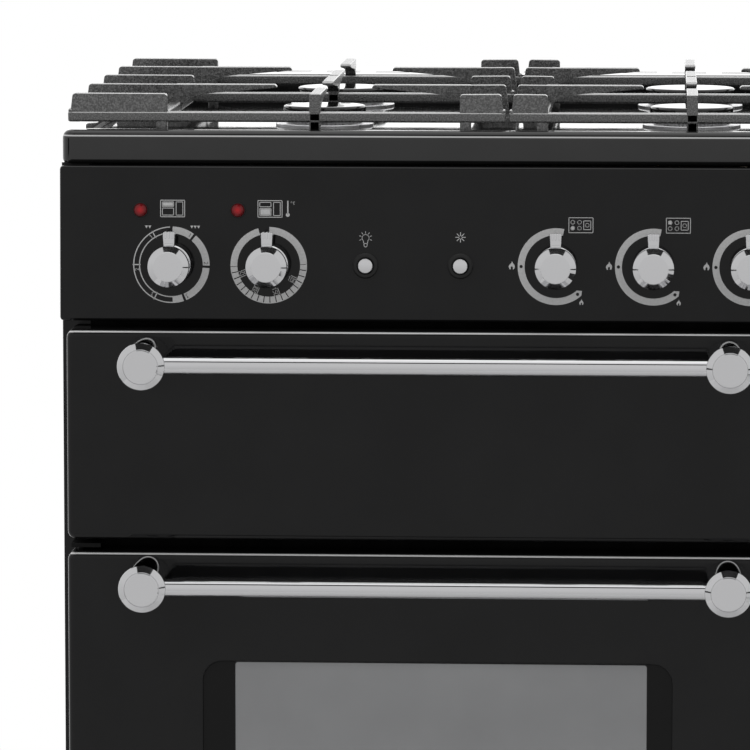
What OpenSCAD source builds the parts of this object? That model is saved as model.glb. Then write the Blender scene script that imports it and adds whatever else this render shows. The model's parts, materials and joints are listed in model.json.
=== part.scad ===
// Freestanding dual-fuel range: gas hob on top, grill and main oven on the left,
// tall oven on the right, storage drawer below. Millimetres, +Z up, front at -Y.

/* [Overall] */
// Width across the cabinet
range_w = 900; // [880:1:1000]
// Depth from the handle bosses to the rear edge of the hob
overall_depth = 684; // [660:1:700]
// Height of the hob rim above the floor
deck_z = 905; // [900:1:920]
// Thickness of the pressed steel sheet
sheet = 2; // [1.5:0.1:2.5]
// Height of the feet below the side panels
foot_h = 30; // [20:1:40]

/* [Front] */
// How far the door faces stand in front of the cabinet
door_stand = 35; // [33:1:40]
// Height of the hob's front edge
hob_edge_h = 23.3; // [20:0.1:26]
// Height of the control panel
fascia_h = 108.7; // [105:0.1:112]
// Forward reach of the control panel's lower edge
fascia_low_reach = 20; // [18:0.5:24]
// Forward reach of the control panel's upper edge
fascia_top_reach = 16; // [14:0.5:18]
// Height of the grill door
grill_door_h = 149.1; // [145:0.1:155]
// Height of the main oven door
main_door_h = 380.5; // [375:0.5:385]
// Height of the drawer front
drawer_h = 120; // [115:1:124]
// Gap between doors, one above the other
door_gap = 8.9; // [8:0.1:10]
// Width of the left column of doors
left_door_w = 529; // [500:1:540]

/* [Handles] */
// Forward reach of a handle boss from its door
handle_reach = 52; // [48:1:58]
// Forward reach of a handle bar's centre line
bar_reach = 41; // [36:1:42]
// Radius of a handle boss
boss_r = 16.8; // [15:0.1:18]
// Radius of a handle bar
bar_r = 6.4; // [5:0.1:7]
// Distance from a door's side edge to its handle boss
boss_inset = 58; // [50:1:70]
// Distance from a door's top edge to its handle's centre
handle_drop = 19.2; // [18:0.1:24]

/* [Ovens] */
// Inside width of the grill and of the main oven
cavity_w = 420; // [400:1:430]
// Inside width of the tall oven
tall_cavity_w = 260; // [250:1:264]
// Inside depth of the ovens, up to the rear wall
cavity_depth = 448; // [440:1:460]
// Height of the main oven window
window_h = 217; // [200:1:230]
// Width of the main oven window
main_window_w = 335; // [300:1:340]
// Width of the tall oven window
tall_window_w = 180; // [150:1:190]

/* [Controls] */
// Height of the row of knobs above the floor
knob_z = 810.2; // [805:0.1:815]
// Spacing of the controls along the panel
knob_pitch = 69; // [68:0.1:70]
// Radius of a knob's round face
knob_r = 15; // [13:0.1:17]
// Height of a knob's face above the panel
knob_h = 30; // [26:0.5:32]

/* [Hob] */
// Distance between neighbouring rows of pan-support fins
row_pitch = 111; // [108:1:112]
// Distance from the hob's front edge to the first bar
first_row = 25; // [24:1:30]
// Height of the pan supports above the hob rim
support_top = 25; // [22:0.5:28]
// Distance of the outer burners from the middle of the hob
burner_x = 270; // [265:1:275]
// Depth of the hob's recessed floor below its rim
tray_recess = 5; // [4:0.5:6]

/* [Hidden] */
$fn = 64;
half_w = range_w / 2;
fascia_gap = 7.5;
hob_gap = 2;
side_margin = 6;
column_gap = 9;

// planes from front to back
cab_front = -overall_depth / 2 + handle_reach + door_stand;
cab_rear = overall_depth / 2 - 7;
hob_front = cab_front - 3;
hob_rear = overall_depth / 2;
door_front = cab_front - door_stand;
liner_y = cab_front - 7;
seal_y = cab_front - 3;
frame_d = 20;
back_y = cab_rear - 22;
cavity_y = cab_front + cavity_depth;

// heights from the top down
fascia_z1 = deck_z - hob_edge_h - hob_gap;
fascia_z0 = fascia_z1 - fascia_h;
grill_z1 = fascia_z0 - fascia_gap;
grill_z0 = grill_z1 - grill_door_h;
main_z1 = grill_z0 - door_gap;
main_z0 = main_z1 - main_door_h;
drawer_z1 = main_z0 - door_gap;
drawer_z0 = drawer_z1 - drawer_h;
base_z = drawer_z0 - 6;
hob_z0 = deck_z - hob_edge_h;
tray_z = deck_z - tray_recess;

// columns from left to right
left_x0 = -half_w + side_margin;
left_x1 = left_x0 + left_door_w;
tall_x0 = left_x1 + column_gap;
tall_x1 = half_w - side_margin;
left_c = (left_x0 + left_x1) / 2;
tall_c = (tall_x0 + tall_x1) / 2;

// oven and grill mouths: [middle x, inside width, low z, high z]
main_mouth = [left_c, cavity_w, main_z0 + 20, main_z1 - 20.5];
tall_mouth = [tall_c, tall_cavity_w, main_z0 + 25, grill_z1 - 23.5];
grill_mouth = [left_c, cavity_w, grill_z0 + 20.6, grill_z1 - 18.5];
drawer_mouth = [0, 2 * half_w - 60, drawer_z0 + 8, drawer_z1 - 8];
window_z1 = main_z1 - 78.5;
window_r = 14;

// hinges
pin_r = 2.5;
pin_fit = 0.05;
side_hinge_x = half_w - 14;
side_hinge_y = cab_front - 17;
drop_y = door_front + 7;
drop_z = grill_z0 + 6;
arm_t = 3;
arm_inset = 4;

// control panel: local +Z is the panel's outward normal
fascia_tilt = atan((fascia_low_reach - fascia_top_reach) / fascia_h);
spindle_r = 3;
plunger_r = 5.95;
button_r = 5.35;
knob_gap = 5;
edge_knob_x = half_w - 80;
hob_knob_x0 = -96;
light_x = edge_knob_x - 2 * knob_pitch - 0.5;
ignition_x = light_x - 67.5;
hob_knob_xs = [for (i = [0:4]) hob_knob_x0 + i * knob_pitch];
switch_xs = [-edge_knob_x, -edge_knob_x + knob_pitch + 0.5, edge_knob_x - knob_pitch - 0.5, edge_knob_x];
neon_xs = [-edge_knob_x - 22, -edge_knob_x + knob_pitch - 21.5, edge_knob_x - 22];
neon_z = knob_z + 39;
button_xs = [-light_x, -ignition_x];

// rows of the hob and its burners: [x, y, cap radius, ring radius]
rows = [for (i = [0:4]) hob_front + first_row + i * row_pitch];
burners = [
    [-burner_x, rows[1], 30.5, 35.5],
    [-burner_x, rows[3], 34.5, 39],
    [0, rows[3], 34.5, 39],
    [0, rows[1], 30.5, 35.5],
    [burner_x, rows[2], 48, 56]
];
bar_z0 = deck_z + 4.5;
bar_z1 = deck_z + 12;
top_z = deck_z + support_top;
bar_w = 8;
vent_y0 = rows[4] + 36;

// shelves: [mouth, height]
shelves = [[main_mouth, 400], [main_mouth, 490], [tall_mouth, 390], [tall_mouth, 560]];
fan_z = [(main_mouth[2] + main_mouth[3]) / 2, 500];
fan_y0 = cavity_y - 30;

// gas: supply pipe, feed tubes and the pin that the hose fitting goes on
supply_x = -125;
supply_y = back_y + 14;
supply_r = 8;
feed_r = 4;
inlet_r = 10.48;
inlet_l = 18;

// cabinet floor, feet and drawer
drop_arm_xs = [left_x0 + arm_inset, left_x1 - arm_inset - arm_t];
foot_xs = [-half_w + 60, half_w - 60];
foot_ys = [cab_front + 80, cab_rear - 60];
foot_bore = 5.05;
plinth_y = cab_front + 25;
runner_z = 138;
runner_l = 545;
box_x = 410;
drawer_rear = cab_front + 405;
grill_depth = 400;

black = [0.13, 0.13, 0.13];
iron = [0.28, 0.28, 0.28];
steel = [0.72, 0.72, 0.72];
enamel = [0.2, 0.2, 0.22];

// ---- shared shapes ----

// A box between two corners
module block(x, y, z) {
    translate([x[0], y[0], z[0]]) cube([x[1] - x[0], y[1] - y[0], z[1] - z[0]]);
}

// A flat rectangle with round corners, centred
module rounded(w, h, r) {
    square([w - 2 * r, h], center = true);
    square([w, h - 2 * r], center = true);
    for (sx = [-1, 1], sy = [-1, 1]) translate([sx * (w / 2 - r), sy * (h / 2 - r)]) circle(r);
}

// Extrudes a flat shape, drawn in X and Z, from y0 back to y1
module extrude_y(y0, y1) {
    translate([0, y1, 0]) rotate([90, 0, 0]) linear_extrude(y1 - y0) children();
}

// Extrudes a flat shape, drawn in Y and Z, from x0 to x1
module extrude_x(x0, x1) {
    translate([x0, 0, 0]) rotate([90, 0, 90]) linear_extrude(x1 - x0) children();
}

module rod_x(x0, x1, y, z, r) {
    translate([x0, y, z]) rotate([0, 90, 0]) cylinder(r = r, h = x1 - x0);
}

module rod_y(x, y0, y1, z, r) {
    translate([x, y0, z]) rotate([-90, 0, 0]) cylinder(r = r, h = y1 - y0);
}

module rod_z(x, y, z0, z1, r) {
    translate([x, y, z0]) cylinder(r = r, h = z1 - z0);
}

// Places a shape on the control panel, with local +Z along its outward normal
module on_fascia(x, z) {
    reach = fascia_low_reach + (fascia_top_reach - fascia_low_reach) * (z - fascia_z0) / fascia_h;
    translate([x, cab_front - reach, z]) rotate([90 - fascia_tilt, 0, 0]) children();
}

// ---- cabinet ----

// C-shaped side: flat face with a return at the front and the back
module side_panel() {
    color(black) translate([0, 0, foot_h]) linear_extrude(hob_z0 - foot_h) difference() {
        translate([-half_w, cab_front]) square([20, cab_rear - cab_front]);
        translate([-half_w + sheet, cab_front + sheet]) square([20, cab_rear - cab_front - 2 * sheet]);
    }
}

module side_panel_left() side_panel();

module side_panel_right() mirror([1, 0, 0]) side_panel();

// Rear sheet with the gas pipe's hole, and the electrical terminal cover with its cable gland
module back_panel() {
    color(steel) {
        difference() {
            block([-half_w + sheet, half_w - sheet], [back_y, back_y + sheet], [base_z, hob_z0 - 4]);
            rod_y(supply_x, back_y - 1, back_y + sheet + 1, knob_z, supply_r + 1);
            for (i = [-5:5])
                block([i * 30 - 10, i * 30 + 10], [back_y - 1, back_y + sheet + 1], [760, 766]);
        }
        translate([0, back_y + sheet, 0]) {
            difference() {
                block([290, 390], [0, 18], [180, 260]);
                block([292, 388], [-1, 16], [182, 258]);
                rod_z(340, 9, 179, 184, 6);
            }
            difference() {
                rod_z(340, 9, 166, 180, 8.5);
                rod_z(340, 9, 165, 181, 5);
            }
        }
    }
}

// Floor sheet with four bored corner legs for the feet
module base_frame() {
    color(steel) {
        block([-half_w + sheet, half_w - sheet], [cab_front + sheet, back_y + sheet],
            [base_z - sheet, base_z]);
        for (x = foot_xs, y = foot_ys) difference() {
            block([x - 20, x + 20], [y - 20, y + 20], [foot_h, base_z - sheet]);
            rod_z(x, y, foot_h - 1, foot_h + 36, foot_bore);
        }
    }
}

// Rubber-soled screw feet
module levelling_feet() {
    color("dimgray") for (x = foot_xs, y = foot_ys) translate([x, y, 0]) {
        rotate_extrude()
            polygon([[0, 0], [21, 0], [21, 6], [17, 10], [8, 12], [8, 14], [5, 14], [5, 60], [0, 60]]);
        translate([0, 0, 14]) difference() {
            cylinder(r = 10, h = 8, $fn = 6);
            translate([0, 0, -1]) cylinder(r = 4.9, h = 10);
        }
    }
}

module plinth() {
    color(black) difference() {
        block([-half_w + sheet, half_w - sheet], [plinth_y, plinth_y + 18], [foot_h, base_z - sheet]);
        block([-half_w, half_w], [plinth_y + sheet, plinth_y + 19], [foot_h - 1, base_z - 2 * sheet]);
    }
}

module mouth_cut(m, grow) {
    block([m[0] - m[1] / 2 - grow, m[0] + m[1] / 2 + grow], [cab_front - 1, cab_front + frame_d + 1],
        [m[2] - grow, m[3] + grow]);
}

// Welded frame around the oven, grill and drawer mouths
module front_frame() {
    color(black) difference() {
        block([-half_w + 20, half_w - 20], [cab_front, cab_front + frame_d], [base_z, fascia_z0]);
        for (m = [main_mouth, tall_mouth, grill_mouth]) mouth_cut(m, sheet);
        mouth_cut(drawer_mouth, 0);
    }
}

// ---- hob ----

// Pressed hob top: raised rim, recessed floor, deep folded edge and burner holes
module hob_tray() {
    color(black) difference() {
        translate([0, (hob_front + hob_rear) / 2, hob_z0])
            linear_extrude(hob_edge_h) rounded(range_w, hob_rear - hob_front, 7);
        block([-half_w + sheet, half_w - sheet], [hob_front + sheet, hob_rear - sheet],
            [hob_z0 - 1, tray_z - sheet]);
        block([-half_w + 12, half_w - 12], [hob_front + 12, hob_rear - 8], [tray_z, deck_z + 1]);
        for (b = burners) rod_z(b[0], b[1], tray_z - 3, tray_z + 1, b[2] - 5);
    }
}

// Raised flue cover behind the pan supports, with slots and two dome studs
module rear_vent() {
    vent_top = deck_z + 10.6;
    vent_y1 = hob_rear - 12;
    color(black) {
        difference() {
            block([-half_w + 30, half_w - 30], [vent_y0, vent_y1], [tray_z, vent_top]);
            block([-half_w + 32, half_w - 32], [vent_y0 + sheet, vent_y1 - sheet],
                [tray_z - 1, vent_top - sheet]);
            for (i = [-9:9])
                block([i * 40 - 14, i * 40 + 14], [vent_y0 + 26, vent_y0 + 32], [vent_top - 3, vent_top + 1]);
            for (i = [-9:9])
                block([i * 40 - 14, i * 40 + 14], [vent_y0 + 42, vent_y0 + 48], [vent_top - 3, vent_top + 1]);
        }
        for (s = [-1, 1]) translate([s * 366, vent_y0 + 12, vent_top])
            rotate_extrude() polygon([[0, 0], [5, 0], [4.4, 2], [2.6, 3.4], [0, 4]]);
    }
}

module burner_bases() {
    color("silver") for (b = burners) translate([b[0], b[1], 0]) difference() {
        rotate_extrude()
            polygon([[0, tray_z - 16], [b[2] - 6, tray_z - 16], [b[2] - 6, tray_z], [b[3], tray_z],
            [b[3], tray_z + 2], [b[2] - 2, tray_z + 6], [b[2] - 2, tray_z + 9], [0, tray_z + 9]]);
        translate([0, 0, tray_z - 17]) cylinder(r = b[2] - 12, h = 14);
    }
}

module burner_caps() {
    color("dimgray") for (b = burners) translate([b[0], b[1], tray_z + 9])
        rotate_extrude() polygon([[0, 0], [b[2], 0], [b[2], 3], [b[2] - 3, 5.5], [0, 6]]);
}

// Outer fins stand on the bars from the outside end to the rail
module fin(x0, x1, y, slope0, slope1) {
    extrude_y(y - 3.5, y + 3.5)
        polygon([[x0, bar_z0], [x1, bar_z0], [x1, top_z - slope1], [x1 - slope1, top_z],
        [x0 + slope0, top_z], [x0, top_z - slope0]]);
}

// Side view of a finger: deep at its root, thin at its tip, curved underneath
function finger_profile(root, tip) = concat([[root, bar_z0], [root, top_z], [tip, top_z]],
    [for (i = [0:4]) let (u = i / 5) [tip + (root - tip) * u, top_z - 3.5 - 12 * u * u]]);

module pan_support(x0, x1, rail0, rail1, list, cross_rows) {
    color(iron) {
        for (r = cross_rows) block([x0, x1], [rows[r] - bar_w / 2, rows[r] + bar_w / 2], [bar_z0, bar_z1]);
        for (x = [rail0, rail1])
            block([x - bar_w / 2, x + bar_w / 2], [rows[0], rows[4]], [bar_z0, bar_z1]);
        for (y = rows) {
            fin(x0 + 1, rail0 + bar_w / 2, y, 5, 2);
            fin(rail1 - bar_w / 2, x1 - 1, y, 2, 2);
        }
        for (b = list) {
            tip = b[2] + 4.5;
            extrude_y(b[1] - 4.5, b[1] + 4.5) polygon(finger_profile(rail0, b[0] - tip));
            extrude_y(b[1] - 4.5, b[1] + 4.5) polygon(finger_profile(rail1, b[0] + tip));
            near = max([for (r = cross_rows) if (rows[r] < b[1]) rows[r]]);
            far = min([for (r = cross_rows) if (rows[r] > b[1]) rows[r]]);
            extrude_x(b[0] - 4, b[0] + 4) polygon(finger_profile(near - bar_w / 2, b[1] - tip));
            extrude_x(b[0] - 4, b[0] + 4) polygon(finger_profile(far + bar_w / 2, b[1] + tip));
        }
        for (x = [rail0, rail1], r = [0, 4])
            block([x - 4, x + 4], [rows[r] - 4, rows[r] + 4], [tray_z, bar_z0 + 1]);
        for (b = list, r = [0, 4])
            block([b[0] - 5, b[0] + 5], [rows[r] - 4, rows[r] + 4], [tray_z, bar_z0 + 1]);
    }
}

module pan_support_left()
    pan_support(-half_w + 2.5, -133, -380, -162, [burners[0], burners[1]], [0, 2, 4]);

module pan_support_centre()
    pan_support(-131, 131, -107, 107, [burners[2], burners[3]], [0, 2, 4]);

module pan_support_right()
    pan_support(133, half_w - 2.5, 162, 380, [burners[4]], [0, 4]);

// ---- gas and controls ----

// Gas rail with five taps, feed tubes to the burners, and the supply pipe to the rear inlet
module gas_rail() {
    color("goldenrod") difference() {
        union() {
            for (x = hob_knob_xs) on_fascia(x, knob_z) block([-14, 14], [-14, 14], [-60, -14]);
            rod_x(supply_x, hob_knob_xs[4] + 20, cab_front + 46, knob_z, supply_r);
            rod_y(supply_x, cab_front + 46, supply_y, knob_z, supply_r);
            rod_z(supply_x, supply_y, knob_z - 14, knob_z + supply_r, supply_r);
            rod_z(supply_x, supply_y, knob_z - 14 - inlet_l, knob_z - 14, inlet_r);
            for (i = [0:4]) feed_tube(hob_knob_xs[i], cab_front + 30, burners[i], knob_z + 22 + 10 * i);
        }
        for (x = hob_knob_xs) on_fascia(x, knob_z) translate([0, 0, -36]) cylinder(r = 6, h = 23);
        rod_z(supply_x, supply_y, knob_z - 15 - inlet_l, knob_z - 12, 6);
    }
}

module feed_tube(x, y, b, z) {
    riser_z = tray_z - 16;
    rod_z(x, y, knob_z, z, feed_r);
    translate([x, y, z]) sphere(feed_r);
    rod_y(x, y, b[1], z, feed_r);
    translate([x, b[1], z]) sphere(feed_r);
    rod_x(min(x, b[0]), max(x, b[0]), b[1], z, feed_r);
    translate([b[0], b[1], z]) sphere(feed_r);
    rod_z(b[0], b[1], z, riser_z + 8, feed_r);
}

// Sprung plunger that a gas knob's spindle turns in
module tap_plunger(i) {
    color("silver") on_fascia(hob_knob_xs[i], knob_z) translate([0, 0, -22]) difference() {
        cylinder(r = plunger_r, h = 14);
        translate([0, 0, -1]) cylinder(r = spindle_r + pin_fit, h = 16);
    }
}

// Round knob with a skirt, a waist, a flat face and a pointer, on its spindle
module knob(x) {
    color(steel) on_fascia(x, knob_z) {
        difference() {
            union() {
                rotate_extrude() polygon([[0, knob_gap], [knob_r + 1, knob_gap], [knob_r + 1, knob_gap + 3],
                    [knob_r - 2, knob_gap + 6], [knob_r - 2, 20], [knob_r, 22], [knob_r, knob_h - 3],
                    [knob_r * 0.68, knob_h], [0, knob_h]]);
                linear_extrude_up(12, 21) polygon([[-3.2, 0], [3.2, 0], [4.4, 23], [-4.4, 23]]);
            }
            translate([0, 0, knob_gap - 1]) cylinder(r = spindle_r, h = 13);
        }
        translate([0, 0, -24]) cylinder(r = spindle_r, h = 24 + knob_gap + 12);
    }
}

module linear_extrude_up(z0, z1) {
    translate([0, 0, z0]) linear_extrude(z1 - z0) children();
}

// Tilted panel with closed ends, and holes for spindles, buttons and neons
module control_panel() {
    color(black) difference() {
        extrude_x(-half_w, half_w)
            polygon([[cab_front, fascia_z0], [cab_front - fascia_low_reach, fascia_z0],
            [cab_front - fascia_top_reach, fascia_z1], [cab_front, fascia_z1]]);
        extrude_x(-half_w + sheet, half_w - sheet) polygon([[cab_front + 1, fascia_z0 + sheet],
            [cab_front - fascia_low_reach + sheet, fascia_z0 + sheet],
            [cab_front - fascia_top_reach + sheet, fascia_z1 - sheet], [cab_front + 1, fascia_z1 - sheet]]);
        for (x = concat(hob_knob_xs, switch_xs)) on_fascia(x, knob_z) translate([0, 0, -3])
            cylinder(r = 5, h = 5);
        for (x = button_xs) on_fascia(x, knob_z) translate([0, 0, -3]) cylinder(r = 7, h = 5);
        for (x = neon_xs) on_fascia(x, neon_z) translate([0, 0, -3]) cylinder(r = 4.5, h = 5);
    }
}

module neon_lenses() {
    color("red") for (x = neon_xs) on_fascia(x, neon_z)
        rotate_extrude()
            polygon([[0, -8], [4.5, -8], [4.5, 0], [5.5, 0], [5.5, 1], [4.5, 2.4], [2.5, 3.2], [0, 3.5]]);
}

// Grill regulator, thermostats and timer behind the panel, the two push switches and their bezels
module control_switches() {
    color("dimgray") {
        for (x = switch_xs) on_fascia(x, knob_z) difference() {
            block([-18, 18], [-18, 18], [-48, -3]);
            translate([0, 0, -30]) cylinder(r = spindle_r + pin_fit, h = 28);
        }
        for (x = button_xs) on_fascia(x, knob_z) {
            block([-9, 9], [-9, 9], [-40, -16]);
            rotate_extrude() polygon([[button_r + 0.1, -16], [6.9, -16], [6.9, 0], [9.15, 0], [9.15, 1.4],
                [8.2, 2.4], [6.4, 2.6], [button_r + 0.1, 1.6]]);
        }
    }
}

module push_button(x) {
    color(steel) on_fascia(x, knob_z)
        rotate_extrude() polygon([[0, -12], [button_r, -12], [button_r, 4.6], [4.6, 5.6], [0, 6.2]]);
}

// ---- doors ----

// Pressed outer skin with returns on four sides
module door_skin(x, z) {
    difference() {
        block(x, [door_front, liner_y], z);
        block([x[0] + sheet, x[1] - sheet], [door_front + sheet, liner_y + 1],
            [z[0] + sheet, z[1] - sheet]);
    }
}

module window_cut(c, w, y0, y1) {
    extrude_y(y0, y1) translate([c, window_z1 - window_h / 2]) rounded(w, window_h, window_r);
}

// Bores for a side-hung door's two pins
module side_pin_bores(x, z) {
    rod_z(x, side_hinge_y, z[0] - 1, z[1] + 1, pin_r + pin_fit);
}

// Inner plate that closes a door's back
module door_plate(x, z) block([x[0] + 1, x[1] - 1], [liner_y, seal_y], [z[0] + 1, z[1] - 1]);

module handle(x) {
    z = x[2] - handle_drop;
    color(steel) {
        for (bx = [x[0] + boss_inset, x[1] - boss_inset]) translate([bx, door_front, z]) rotate([90, 0, 0])
            rotate([0, 0, 90]) rotate_extrude() polygon([[0, 0], [boss_r, 0], [boss_r, handle_reach - 3.4],
                [boss_r - 3.4, handle_reach - 0.6], [boss_r - 4.6, handle_reach - 0.6],
                [boss_r - 5, handle_reach], [0, handle_reach]]);
        rod_x(x[0] + boss_inset, x[1] - boss_inset, door_front - bar_reach, z, bar_r);
    }
}

// Oven gasket: a flat ring around the mouth
module gasket(m) {
    grow = sheet + 2;
    color("gray") difference() {
        block([m[0] - m[1] / 2 - grow - 8, m[0] + m[1] / 2 + grow + 8], [seal_y, cab_front - 0.3],
            [m[2] - grow - 8, m[3] + grow + 8]);
        block([m[0] - m[1] / 2 - grow, m[0] + m[1] / 2 + grow], [seal_y - 1, cab_front],
            [m[2] - grow, m[3] + grow]);
    }
}

module panes(c, w) {
    color([0.3, 0.32, 0.34, 0.6]) {
        extrude_y(door_front + sheet, door_front + sheet + 4)
            translate([c, window_z1 - window_h / 2]) rounded(w + 30, window_h + 30, window_r);
        window_cut(c, w - 40, liner_y, seal_y);
    }
}

module drop_arm_slots() {
    for (x = drop_arm_xs) {
        block([x - 1.5, x + arm_t + 1.5], [liner_y - 1, seal_y + 1], [grill_z0 - 1, drop_z + 6]);
        block([x - 1.5, x + arm_t + 1.5], [door_front + sheet, liner_y + 1],
            [grill_z0 - 1, grill_z0 + sheet + 0.5]);
    }
}

module grill_door_panel() {
    color(black) difference() {
        door_skin([left_x0, left_x1], [grill_z0, grill_z1]);
        drop_arm_slots();
        rod_x(left_x0 - 1, left_x1 + 1, drop_y, drop_z, pin_r + pin_fit);
    }
}

module grill_door_liner() {
    color(enamel) difference() {
        door_plate([left_x0, left_x1], [grill_z0, grill_z1]);
        drop_arm_slots();
    }
}

module grill_door_handle() handle([left_x0, left_x1, grill_z1]);

module main_door_panel() {
    color(black) difference() {
        door_skin([left_x0, left_x1], [main_z0, main_z1]);
        window_cut(left_c, main_window_w, door_front - 1, door_front + 3);
        side_pin_bores(-side_hinge_x, [main_z0, main_z1]);
    }
}

module main_door_liner() {
    color(enamel) difference() {
        door_plate([left_x0, left_x1], [main_z0, main_z1]);
        window_cut(left_c, main_window_w - 40, liner_y - 1, seal_y + 1);
    }
}

module main_door_glass() panes(left_c, main_window_w);

module main_door_handle() handle([left_x0, left_x1, main_z1]);

module main_door_seal() gasket(main_mouth);

module tall_door_panel() {
    color(black) difference() {
        door_skin([tall_x0, tall_x1], [main_z0, grill_z1]);
        window_cut(tall_c, tall_window_w, door_front - 1, door_front + 3);
        side_pin_bores(side_hinge_x, [main_z0, grill_z1]);
    }
}

module tall_door_liner() {
    color(enamel) difference() {
        door_plate([tall_x0, tall_x1], [main_z0, grill_z1]);
        window_cut(tall_c, tall_window_w - 40, liner_y - 1, seal_y + 1);
    }
}

module tall_door_glass() panes(tall_c, tall_window_w);

module tall_door_handle() handle([tall_x0, tall_x1, grill_z1]);

module tall_door_seal() gasket(tall_mouth);

// A hinge plate in the gap above or below a side-hung door, with its pin
module side_hinge(s, z, pin_dir) {
    x0 = s > 0 ? side_hinge_x - 15 : -side_hinge_x - 6;
    block([x0, x0 + 21], [side_hinge_y - 9, cab_front], [z, z + arm_t]);
    rod_z(s * side_hinge_x, side_hinge_y, pin_dir > 0 ? z + arm_t - 1 : z - 12,
        pin_dir > 0 ? z + arm_t + 12 : z + 1, pin_r);
}

// Arms and pins of the drop-down grill door, and the plates and pins of the side-hung doors
module door_hinges() {
    color(steel) {
        for (x = drop_arm_xs) block([x, x + arm_t], [drop_y - 3, cab_front], [drop_z - 3, drop_z + 3]);
        rod_x(left_x0 + 0.2, drop_arm_xs[0] + 1, drop_y, drop_z, pin_r);
        rod_x(drop_arm_xs[1] + 2, left_x1 - 0.2, drop_y, drop_z, pin_r);
        side_hinge(-1, main_z1 + 2, -1);
        side_hinge(1, grill_z1 + 2, -1);
        for (s = [-1, 1]) side_hinge(s, drawer_z1 + 3, 1);
    }
}

// ---- ovens ----

// Open-fronted enamelled box with a bored rear wall, fan baffle, side ribs and fan motor
module oven_liner(m, rib_zs, fan_z) {
    x = [m[0] - m[1] / 2, m[0] + m[1] / 2];
    color(enamel) {
        difference() {
            block([x[0] - sheet, x[1] + sheet], [cab_front, cavity_y + sheet],
                [m[2] - sheet, m[3] + sheet]);
            block(x, [cab_front - 1, cavity_y], [m[2], m[3]]);
            rod_y(m[0], cavity_y - 1, cavity_y + sheet + 1, fan_z, 4.06);
        }
        for (z = rib_zs, s = [0, 1]) block([s ? x[1] - 6 : x[0], s ? x[1] : x[0] + 6],
            [cab_front + 40, fan_y0 - 10], [z - 6, z - 3]);
        difference() {
            block([x[0] + 20, x[1] - 20], [fan_y0 - 8, fan_y0 - 6], [fan_z - 110, fan_z + 110]);
            for (a = [0:30:330]) rotate_about_y(m[0], fan_z, a)
                rod_y(m[0] + 38, fan_y0 - 9, fan_y0 - 5, fan_z, 7);
            rod_y(m[0], fan_y0 - 9, fan_y0 - 5, fan_z, 16);
        }
        for (sx = [-1, 1], sz = [-1, 1])
            rod_y(m[0] + sx * (m[1] / 2 - 30), fan_y0 - 6, cavity_y, fan_z + sz * 100, 4);
        difference() {
            rod_y(m[0], cavity_y + sheet, cavity_y + 60, fan_z, 34);
            rod_y(m[0], cavity_y + sheet - 1, cavity_y + 24, fan_z, 4.06);
        }
    }
}

module rotate_about_y(x, z, a) {
    translate([x, 0, z]) rotate([0, a, 0]) translate([-x, 0, -z]) children();
}

module main_oven_liner() oven_liner(main_mouth, [400, 490], fan_z[0]);

module tall_oven_liner() oven_liner(tall_mouth, [390, 560], fan_z[1]);

// Open-fronted grill box
module grill_liner() {
    m = grill_mouth;
    color(enamel) difference() {
        block([m[0] - m[1] / 2 - sheet, m[0] + m[1] / 2 + sheet], [cab_front, cab_front + grill_depth],
            [m[2] - sheet, m[3] + sheet]);
        block([m[0] - m[1] / 2, m[0] + m[1] / 2], [cab_front - 1, cab_front + grill_depth - sheet],
            [m[2], m[3]]);
    }
}

// Fan: shaft, hub and eight blades on a disc
module fan(m, z) {
    color("silver") translate([m[0], 0, z]) {
        rod_y(0, fan_y0, cavity_y + 22, 0, 4);
        rod_y(0, fan_y0, fan_y0 + 18, 0, 12);
        rod_y(0, fan_y0 + 18, fan_y0 + 20, 0, 60);
        for (a = [0:45:315]) rotate([0, a, 0]) block([22, 58], [fan_y0 + 2, fan_y0 + 19], [-1, 1]);
    }
}

module main_oven_fan() fan(main_mouth, fan_z[0]);

module tall_oven_fan() fan(tall_mouth, fan_z[1]);

// Chromed wire shelf resting on the ribs at its sides
module wire_shelf(m, z) {
    x = [m[0] - m[1] / 2 + 4.5, m[0] + m[1] / 2 - 4.5];
    y = [cab_front + 24, fan_y0 - 14];
    count = floor((x[1] - x[0]) / 26);
    step = (x[1] - x[0]) / count;
    for (yy = [y[0], y[1]]) rod_x(x[0], x[1], yy, z, 3, $fn = 12);
    for (xx = x) rod_y(xx, y[0] - 2.5, y[1] + 2.5, z, 3, $fn = 12);
    for (i = [1:count - 1]) rod_y(x[0] + i * step, y[0], y[1], z, 1.8, $fn = 8);
}

module oven_shelves() {
    color("silver") for (s = shelves) wire_shelf(s[0], s[1]);
}

// Shallow pan on the floor of the grill box
module grill_pan() {
    m = grill_mouth;
    x = [m[0] - m[1] / 2 + 14, m[0] + m[1] / 2 - 14];
    y = [cab_front + 12, cab_front + 360];
    z = [m[2], m[2] + 34];
    color(enamel) {
        difference() {
            block(x, y, z);
            block([x[0] + sheet, x[1] - sheet], [y[0] + sheet, y[1] - sheet], [z[0] + sheet, z[1] + 1]);
        }
        difference() {
            block([x[0] - 6, x[1] + 6], [y[0] - 6, y[1] + 6], [z[1], z[1] + sheet]);
            block([x[0] + sheet, x[1] - sheet], [y[0] + sheet, y[1] - sheet], [z[1] - 1, z[1] + sheet + 1]);
        }
    }
}

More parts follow.
